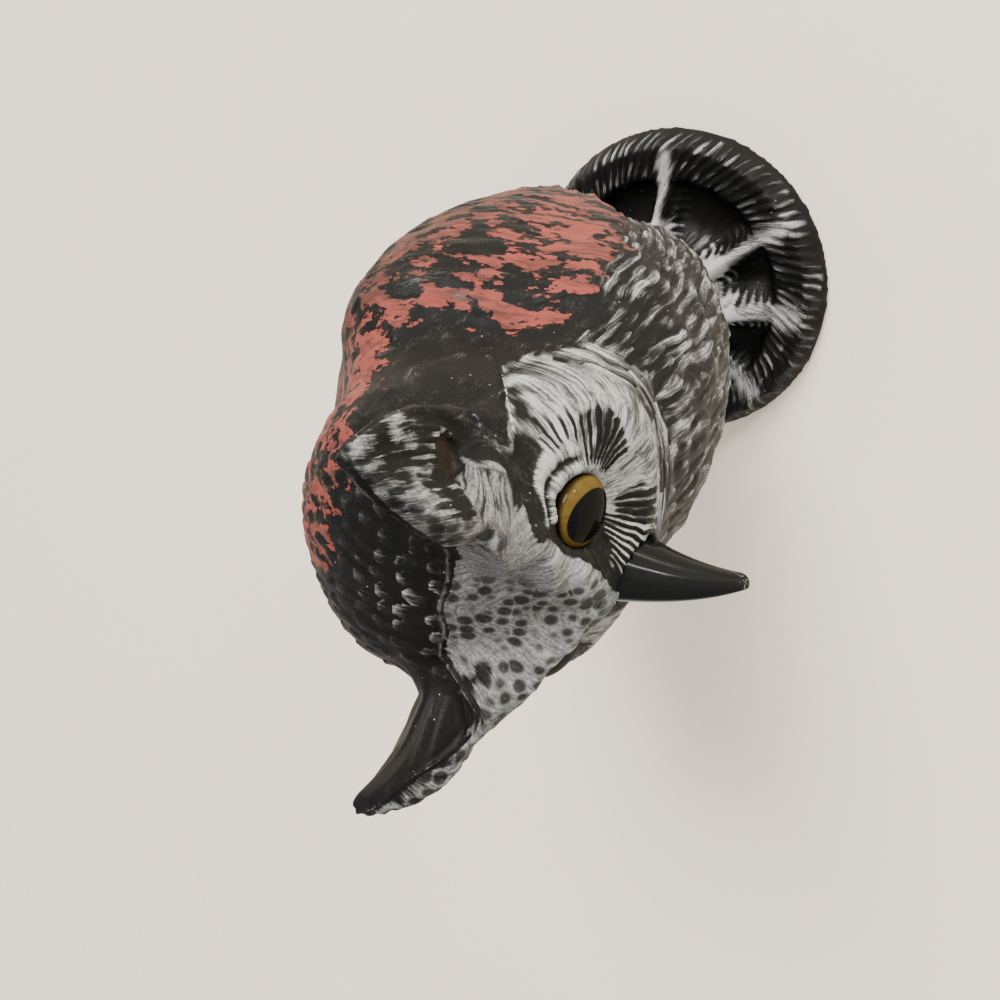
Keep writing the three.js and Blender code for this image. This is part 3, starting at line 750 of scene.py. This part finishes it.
    # The coral coat lies in flakes, and wears darker in places
    red = add(tree, "Math", {0: carved["coral"], 1: 0.03, 2: 1.24}, operation="MULTIPLY_ADD")
    for mark, share in ((marks["thin_flake"], -0.9), (marks["flake"], -1.8)):
        red = add(tree, "Math", {0: mark, 1: share, 2: red}, operation="MULTIPLY_ADD")
    links = {"Value": red, "From Min": -0.02, "From Max": 0.03}
    coral_share = add(tree, "MapRange", links, interpolation_type="SMOOTHSTEP")
    worn = add(tree, "Math", {0: carved["dull"], 1: 0.2, 2: marks["worn"]}, operation="MULTIPLY_ADD")
    links = {"Value": worn, "From Min": 0.42, "From Max": 0.66}
    worn = add(tree, "MapRange", links, interpolation_type="SMOOTHSTEP")
    coral = add(tree, "Mix", {"Factor": worn, 6: size.coral, 7: linear("#4a2a24")}, 2, data_type="RGBA")

    # The black undercoat is greyer on the crests, and has a pale dust speck every 6.5 mm or so
    lighter = add(tree, "Math", {0: carved["crest"], 1: 0.5, 2: speckle}, operation="MULTIPLY_ADD")
    links = {"Value": lighter, "From Min": 0.77, "From Max": 1.17}
    lighter = add(tree, "MapRange", links, interpolation_type="SMOOTHSTEP")
    black = add(tree, "Mix", {"Factor": lighter, 6: size.black, 7: linear("#262622")}, 2, data_type="RGBA")
    dust = add(tree, "TexVoronoi", {"Vector": place, "Scale": 1 / (6.5 * MM)}, out="Distance")
    dust = add(tree, "Math", {0: dust, 1: 0.04}, operation="LESS_THAN")
    dust = add(tree, "Math", {0: dust, 1: 0.5}, operation="MULTIPLY")

    # The grey is darker where little of it holds, and even where a dull coat covers the strokes
    tones = []
    for tone, parts in (
        (-1.39, ((over, 3.2), (bristle, 0.9), (speckle, 1.2))),
        (-0.87, ((bristle, 1.3), (speckle, 1.1))),
    ):
        for mark, share in parts:
            tone = add(tree, "Math", {0: mark, 1: share, 2: tone}, operation="MULTIPLY_ADD")
        tones.append(tone)
    tone = add(tree, "Mix", {"Factor": carved["dull"], 2: tones[0], 3: tones[1]})
    links = {"Value": tone, "From Min": 0.0, "From Max": 1.0}
    tone = add(tree, "MapRange", links, interpolation_type="SMOOTHSTEP")
    grey = add(tree, "Mix", {"Factor": tone, 6: size.grey, 7: linear("#929290")}, 2, data_type="RGBA")

    pit = add(tree, "Math", {0: carved["pit"], 1: 0.85}, operation="MULTIPLY")
    scrape = add(tree, "Math", {0: marks["clump"], 1: 1.7}, operation="MULTIPLY")
    scrape = add(tree, "Math", {0: carved["scrape"], 1: scrape}, operation="MULTIPLY")
    links = {"Value": scrape, "From Min": 0.55, "From Max": 0.75}
    scrape = add(tree, "MapRange", links, interpolation_type="SMOOTHSTEP")
    colour = black
    for share, coat in (
        (dust, linear("#c9c8c2")), (coral_share, coral), (grey_share, grey), (pit, linear("#261e18")),
        (scrape, linear("#cfceca")),
    ):
        colour = add(tree, "Mix", {"Factor": share, 6: colour, 7: coat}, 2, data_type="RGBA")

    # Brush marks stand a third of a millimetre high, and the dry grey is rougher than the sprayed black
    relief = add(tree, "Math", {0: speckle, 1: 0.35}, operation="MULTIPLY")
    for mark, share in ((bristle, 0.8), (grey_share, 0.35)):
        relief = add(tree, "Math", {0: mark, 1: share, 2: relief}, operation="MULTIPLY_ADD")
    bump = add(tree, "Bump", {"Height": relief, "Strength": 0.55, "Distance": 0.35 * MM})
    rough = add(tree, "Math", {0: grey_share, 1: 0.22, 2: 0.52}, operation="MULTIPLY_ADD")
    shader = add(tree, "BsdfPrincipled", {
        "Base Color": colour, "Roughness": rough, "IOR": 1.5, "Specular IOR Level": 0.11, "Normal": bump,
    })
    return finish_material(material, shader)


def glossy_abs(size):
    """Injection-moulded ABS, polished black: a clear gloss with hair-fine scratches and a duller, worn tip.
    The scratches run along the beak, and are drawn one to two millimetres wide so that they show."""
    material = new_material("polished_black_abs")
    tree = material.node_tree
    place = add(tree, "TexCoord", out="Object")
    scratch = add(tree, "Mapping", {"Vector": place, "Scale": (900, 90, 500)})
    scratch = add(tree, "TexNoise", {"Vector": scratch, "Scale": 1.0, "Detail": 3.0}, out="Fac")
    worn = add(tree, "Attribute", out="Fac", attribute_name="worn")
    pits = add(tree, "TexNoise", {"Vector": place, "Scale": 900.0, "Detail": 2.0}, out="Fac")
    rough = add(tree, "MapRange", {"Value": scratch, "To Min": 0.12, "To Max": 0.27})
    rough = add(tree, "Math", {0: worn, 1: 0.35, 2: rough}, operation="MULTIPLY_ADD")
    dust = add(tree, "MapRange", {"Value": pits, "From Min": 0.55, "From Max": 0.8})
    dust = add(tree, "Math", {0: dust, 1: worn}, operation="MULTIPLY")
    colour = add(tree, "Mix", {"Factor": dust, 6: size.black, 7: linear("#8f8c84")}, 2, data_type="RGBA")
    bump = add(tree, "Bump", {"Height": pits, "Strength": 0.1, "Distance": 0.1 * MM})
    shader = add(tree, "BsdfPrincipled", {
        "Base Color": colour, "Roughness": rough, "IOR": 1.53, "Specular IOR Level": 0.08, "Normal": bump,
    })
    return finish_material(material, shader)


def cast_acrylic_eye(size):
    """A cast acrylic eye: an amber iris with fine fibres round a black pupil, under a glass-clear gloss"""
    material = new_material("cast_acrylic_eye")
    tree = material.node_tree
    fibres = add(tree, "Attribute", out="Vector", attribute_name="fibre")
    fibres = add(tree, "TexNoise", {"Vector": fibres, "Scale": 1.0, "Detail": 4.0}, out="Fac")
    pupil = add(tree, "Attribute", out="Fac", attribute_name="pupil")
    edge = size.pupil_share
    pupil = add(tree, "MapRange", {"Value": pupil, "From Min": edge + 0.03, "From Max": edge})
    limb = add(tree, "Attribute", out="Fac", attribute_name="limb")
    limb = add(tree, "MapRange", {"Value": limb, "From Min": 0.95, "From Max": 1.0})
    colour = size.iris
    for share, coat in ((fibres, "#3c2f12"), (pupil, "#0b0a09"), (limb, "#1a1408")):
        colour = add(tree, "Mix", {"Factor": share, 6: colour, 7: linear(coat)}, 2, data_type="RGBA")
    shader = add(tree, "BsdfPrincipled", {
        "Base Color": colour, "Roughness": 0.25, "IOR": 1.49, "Specular IOR Level": 0.0, "Coat Weight": 0.12,
        "Coat Roughness": 0.01, "Coat IOR": 1.49,
    })
    return finish_material(material, shader)


def studio_paper(size):
    """Seamless matt paper, pale and warm, with a grain too faint to draw the eye"""
    material = new_material("matt_studio_paper")
    tree = material.node_tree
    place = add(tree, "TexCoord", out="Object")
    cloud = add(tree, "TexNoise", {"Vector": place, "Scale": 2.0, "Detail": 2.0}, out="Fac")
    colour = add(tree, "Mix", {"Factor": cloud, 6: size.paper, 7: linear("#f9ebd8")}, 2, data_type="RGBA")
    shader = add(tree, "BsdfPrincipled", {"Base Color": colour, "Roughness": 0.8})
    return finish_material(material, shader)


# Settings that a user would change


class OwlMoulding(bpy.types.PropertyGroup):
    voxel: FloatProperty(
        name="Voxel", description="Size of the first remesh", default=2.0 * MM, unit="LENGTH"
    )
    triangles: IntProperty(name="Triangles", description="Most triangles in the shell", default=196000)
    lock_width: FloatProperty(
        name="Lock width", description="Width of a breast lock", default=6.6 * MM, unit="LENGTH"
    )
    lock_length: FloatProperty(
        name="Lock length", description="Length of a lock", default=14 * MM, unit="LENGTH"
    )
    lock_relief: FloatProperty(
        name="Lock relief", description="How far a lock stands out", default=1.5 * MM, unit="LENGTH"
    )
    seam_relief: FloatProperty(
        name="Seam relief", description="Height of the parting line", default=0.6 * MM, unit="LENGTH"
    )
    bark_pitch: FloatProperty(
        name="Bark pitch", description="Spacing of the rim's ribs", default=6.4 * MM, unit="LENGTH"
    )
    face_ribs: IntProperty(name="Face ribs", description="Radial ribs round an eye", default=60)
    black: FloatVectorProperty(
        name="Undercoat", description="Matt black", size=4, subtype="COLOR", default=linear("#090908")
    )
    grey: FloatVectorProperty(
        name="Dry-brushed grey", description="Grey-white", size=4, subtype="COLOR", default=linear("#474745")
    )
    coral: FloatVectorProperty(
        name="Coral", description="Salmon red", size=4, subtype="COLOR", default=linear("#773931")
    )


class OwlEyes(bpy.types.PropertyGroup):
    iris: FloatVectorProperty(
        name="Iris", description="Amber", size=4, subtype="COLOR", default=linear("#5f4e22")
    )
    pupil_share: FloatProperty(
        name="Pupil", description="Pupil against its drawn size", default=1.0, min=0.3, max=1.1
    )


class OwlBeak(bpy.types.PropertyGroup):
    black: FloatVectorProperty(
        name="Beak", description="Gloss black", size=4, subtype="COLOR", default=linear("#0c0d0c")
    )


class OwlStage(bpy.types.PropertyGroup):
    paper: FloatVectorProperty(
        name="Paper", description="Pale floor", size=4, subtype="COLOR", default=linear("#fff2df")
    )
    key_strength: FloatProperty(
        name="Key light", description="Strength of the broad key light", default=6.2
    )
    lamp_power: FloatProperty(
        name="Lamps", description="Power of each low lamp", default=7.0, unit="POWER"
    )
    room_strength: FloatProperty(
        name="Room light", description="Strength of the light all round", default=1.14
    )


# The pieces


class OWL_OT_moulding(bpy.types.Operator):
    """Carve and paint the moulded shell over its solid"""

    bl_idname = "owl.moulding"
    bl_label = "Painted moulding"

    def execute(self, context):
        size = context.scene.owl_moulding
        piece = new_piece("painted_moulding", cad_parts["owl_body"].data.copy())
        piece.data.materials.clear()
        apply_modifier(piece, "REMESH", mode="VOXEL", voxel_size=size.voxel)
        # The eye sockets stay as they are, and the thin tufts nearly so
        figure = Figure(coordinates(piece.data) / MM)
        socket = np.linalg.norm(figure.half - EYE_CENTRE, axis=1)
        relax(piece.data, 9, np.maximum(0.75 * figure.tuft, smooth(socket, 17, 14)))
        apply_modifier(piece, "SUBSURF", levels=1, render_levels=1)
        mesh = piece.data
        co = coordinates(mesh)
        normals = np.empty(len(co) * 3)
        mesh.vertex_normals.foreach_get("vector", normals)
        height, values, stroke = carve(co / MM, size)
        keep_in_box(mesh, co + normals.reshape(-1, 3) * height[:, None] * MM, "owl_body")
        for name, numbers in values.items():
            give_values(mesh, name, numbers)
        give_values(mesh, "stroke", np.column_stack([stroke, np.zeros(len(co))]), "FLOAT_VECTOR")
        mesh.calc_loop_triangles()
        share = size.triangles / len(mesh.loop_triangles)
        apply_modifier(piece, "DECIMATE", ratio=min(1.0, share))
        shade_smooth(piece.data)
        piece.data.materials.append(painted_polyethylene(size))
        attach(piece, "root")
        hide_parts("owl_body")
        return {"FINISHED"}


class OWL_OT_eyes(bpy.types.Operator):
    """Turn the two domed eyes and set them in their sockets"""

    bl_idname = "owl.eyes"
    bl_label = "Glassy eyes"

    sides, rings = 72, 22
    centre_hole, wall_top = 0.02, -0.6
    # The pupil is upright, and a little towards the beak; its axes are shares of the eye's radius
    pupil_wide, pupil_tall, pupil_shift = 0.71, 0.84, 0.02
    fibre_turns, fibre_pitch = 6, 0.15

    def execute(self, context):
        size = context.scene.owl_eyes
        material = cast_acrylic_eye(size)
        profile = [
            (self.centre_hole, -EYE_DEPTH),
            (0.75 * EYE_RADIUS, -EYE_DEPTH),
            (EYE_RADIUS - 0.4, self.wall_top),
        ]
        for i in range(self.rings + 1):
            a = i / self.rings * math.pi / 2
            profile.append((max(EYE_RADIUS * math.cos(a), self.centre_hole), EYE_BULGE * math.sin(a)))
        for side, name in ((1, "left"), (-1, "right")):
            look = Vector(EYE_LOOK * [side, 1, 1])
            aside = Vector((0, 0, 1)).cross(look).normalized() * -1
            aside = aside * (1 if aside.x > 0 else -1)
            turn = Matrix((aside, look.cross(aside), look)).transposed().to_4x4()
            place = Matrix.Translation(Vector(EYE_CENTRE * [side, 1, 1]) * MM) @ turn
            rows, pupil, limb, fibres = [], [], [], []
            for radius, height in profile:
                row = []
                for j in range(self.sides):
                    b = 2 * math.pi * j / self.sides
                    c, s = math.cos(b), math.sin(b)
                    row.append(place @ (Vector((radius * c, radius * s, height)) * MM))
                    across = (radius * c / EYE_RADIUS + side * self.pupil_shift) / self.pupil_wide
                    upward = (radius * s / EYE_RADIUS - self.pupil_shift) / self.pupil_tall
                    pupil.append(math.hypot(across, upward) if height > -1 else 2.0)
                    limb.append(radius / EYE_RADIUS if height >= 0 else 1.0)
                    fibres.append((self.fibre_turns * c, self.fibre_turns * s, radius * self.fibre_pitch))
                rows.append(row)
            mesh = surface(f"{name}_eye", rows)
            give_values(mesh, "pupil", pupil)
            give_values(mesh, "limb", limb)
            give_values(mesh, "fibre", fibres, "FLOAT_VECTOR")
            shade_smooth(mesh)
            mesh.materials.append(material)
            piece = new_piece(f"{name}_glassy_eye", mesh)
            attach(piece, "root")
            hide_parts(f"{name}_eye")
        return {"FINISHED"}


class OWL_OT_beak(bpy.types.Operator):
    """Loft the hooked beak with its ridge, the crease along each side and the nostrils"""

    bl_idname = "owl.beak"
    bl_label = "Hooked beak"

    rings, sides = 56, 72
    length, width, depth = 46.0, 25.0, 42.0
    droop, hook, bend_place, tip_share = math.radians(24), 8.0, 0.6, 0.17

    def execute(self, context):
        forward = np.array([0, -math.cos(self.droop), -math.sin(self.droop)])
        tip = BEAK_ROOT + forward * self.length
        bend = BEAK_ROOT + forward * self.length * self.bend_place + UP * self.hook
        rows, worn = [], []
        for i in range(self.rings):
            t = i / (self.rings - 1)
            spine = (1 - t) ** 2 * BEAK_ROOT + 2 * t * (1 - t) * bend + t * t * tip
            tangent = 2 * (1 - t) * (bend - BEAK_ROOT) + 2 * t * (tip - bend)
            tangent = tangent / np.linalg.norm(tangent)
            under = np.cross([1, 0, 0], tangent)
            # The beak tapers, and its last twentieth rounds off
            slim = 1 + (self.tip_share - 1) * t**0.85
            slim = slim * math.sqrt(1 - 0.85 * max(0.0, (t - 0.955) / 0.045) ** 2)
            row = []
            for j in range(self.sides):
                b = 2 * math.pi * j / self.sides
                c, s = math.cos(b), math.sin(b)
                # s runs from -1 on the ridge to 1 underneath
                pinch = 1 - (0.55 if s > 0 else 0.25) * s * s
                crease = 1 + 0.05 * hump(s + 0.55, 0.10) - 0.09 * hump(s + 0.38, 0.09)
                nostril = 1 - 0.16 * hump(t - 0.16, 0.055) * hump(s - 0.35, 0.22)
                across = np.array([c * pinch * crease * nostril * self.width / 2 * slim, 0, 0])
                row.append(tuple((spine + across + under * s * self.depth / 2 * slim) * MM))
                worn.append(float(smooth(t, 0.86, 0.97)))
            rows.append(row)
        mesh = surface("beak", rows)
        give_values(mesh, "worn", worn)
        shade_smooth(mesh)
        mesh.materials.append(glossy_abs(context.scene.owl_beak))
        piece = new_piece("hooked_beak", mesh)
        apply_modifier(piece, "SUBSURF", levels=1, render_levels=1)
        keep_in_box(piece.data, coordinates(piece.data), "beak")
        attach(piece, "root")
        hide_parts("beak")
        return {"FINISHED"}


# The camera stands above the owl's left shoulder and is rolled, as in the reference view
CAMERA_PLACE = (0.1986, -0.1657, 0.4810)
CAMERA_RIGHT = (0.0742, -0.8381, -0.5404)
CAMERA_UP = (0.7992, 0.3741, -0.4705)
CAMERA_BACK = (0.5965, -0.3969, 0.6976)
CAMERA_LENS = 30.6
CAMERA_SENSOR = 36.0
CAMERA_NEAREST = 0.01

FLOOR_REACH = 14.0
KEY_FROM = (0.829, 0.217, 0.518)
KEY_SPREAD = math.radians(28)
KEY_COLOUR = (1.0, 0.98, 0.96)
# Two small lamps on the owl's left, which the dome of the left eye mirrors
LAMPS = (("lamp_left", (1.16, -0.52, 0.36)), ("lamp_right", (1.10, -0.62, 0.24)))
LAMP_WIDTH = 0.03
LAMP_TARGET = (0, -0.02, 0.2)


class OWL_OT_stage(bpy.types.Operator):
    """Lay the paper floor, and set the lights and the camera"""

    bl_idname = "owl.stage"
    bl_label = "Stage"

    def execute(self, context):
        size = context.scene.owl_stage
        place_in_scene = context.scene.collection.objects.link
        mesh = bpy.data.meshes.new("floor")
        corners = [(FLOOR_REACH * x, FLOOR_REACH * y, 0) for x, y in ((-1, -1), (1, -1), (1, 1), (-1, 1))]
        mesh.from_pydata(corners, [], [(0, 1, 2, 3)])
        mesh.materials.append(studio_paper(size))
        new_piece("studio_floor", mesh)

        key = bpy.data.lights.new("key", "SUN")
        key.energy = size.key_strength
        key.angle = KEY_SPREAD
        key.color = KEY_COLOUR
        light = bpy.data.objects.new("key", key)
        light.rotation_euler = Vector(KEY_FROM).to_track_quat("Z", "Y").to_euler()
        place_in_scene(light)
        for name, place in LAMPS:
            lamp = bpy.data.lights.new(name, "AREA")
            lamp.size = LAMP_WIDTH
            lamp.energy = size.lamp_power
            light = bpy.data.objects.new(name, lamp)
            light.location = place
            aim = Vector(LAMP_TARGET) - Vector(place)
            light.rotation_euler = aim.to_track_quat("-Z", "Y").to_euler()
            place_in_scene(light)

        world = bpy.data.worlds.new("soft_room")
        world.use_nodes = True
        background = world.node_tree.nodes["Background"]
        background.inputs["Color"].default_value = linear("#eeece9")
        background.inputs["Strength"].default_value = size.room_strength
        context.scene.world = world

        camera = bpy.data.objects.new("camera", bpy.data.cameras.new("camera"))
        camera.data.lens = CAMERA_LENS
        camera.data.sensor_width = CAMERA_SENSOR
        camera.data.clip_start = CAMERA_NEAREST
        turned = Matrix([CAMERA_RIGHT, CAMERA_UP, CAMERA_BACK]).transposed().to_4x4()
        camera.matrix_world = Matrix.Translation(CAMERA_PLACE) @ turned
        place_in_scene(camera)
        context.scene.camera = camera
        return {"FINISHED"}


class OWL_PT_decoy(bpy.types.Panel):
    bl_label = "Owl Decoy"
    bl_idname = "OWL_PT_decoy"
    bl_space_type = "VIEW_3D"
    bl_region_type = "UI"
    bl_category = "Owl Decoy"

    def draw(self, context):
        for name, operator in STEPS:
            box = self.layout.box()
            box.operator(operator.bl_idname)
            for field in SETTINGS[name].__annotations__:
                box.prop(getattr(context.scene, name), field)


SETTINGS = {"owl_stage": OwlStage, "owl_moulding": OwlMoulding, "owl_eyes": OwlEyes, "owl_beak": OwlBeak}
STEPS = (
    ("owl_stage", OWL_OT_stage),
    ("owl_moulding", OWL_OT_moulding),
    ("owl_eyes", OWL_OT_eyes),
    ("owl_beak", OWL_OT_beak),
)
CLASSES = (*SETTINGS.values(), *(operator for _, operator in STEPS), OWL_PT_decoy)


def register():
    for cls in CLASSES:
        bpy.utils.register_class(cls)
    for name, group in SETTINGS.items():
        setattr(bpy.types.Scene, name, PointerProperty(type=group))


def unregister():
    for name in SETTINGS:
        delattr(bpy.types.Scene, name)
    for cls in reversed(CLASSES):
        bpy.utils.unregister_class(cls)


def main():
    register()
    bpy.ops.owl.stage()
    bpy.ops.owl.moulding()
    bpy.ops.owl.eyes()
    bpy.ops.owl.beak()


if __name__ == "__main__":
    main()
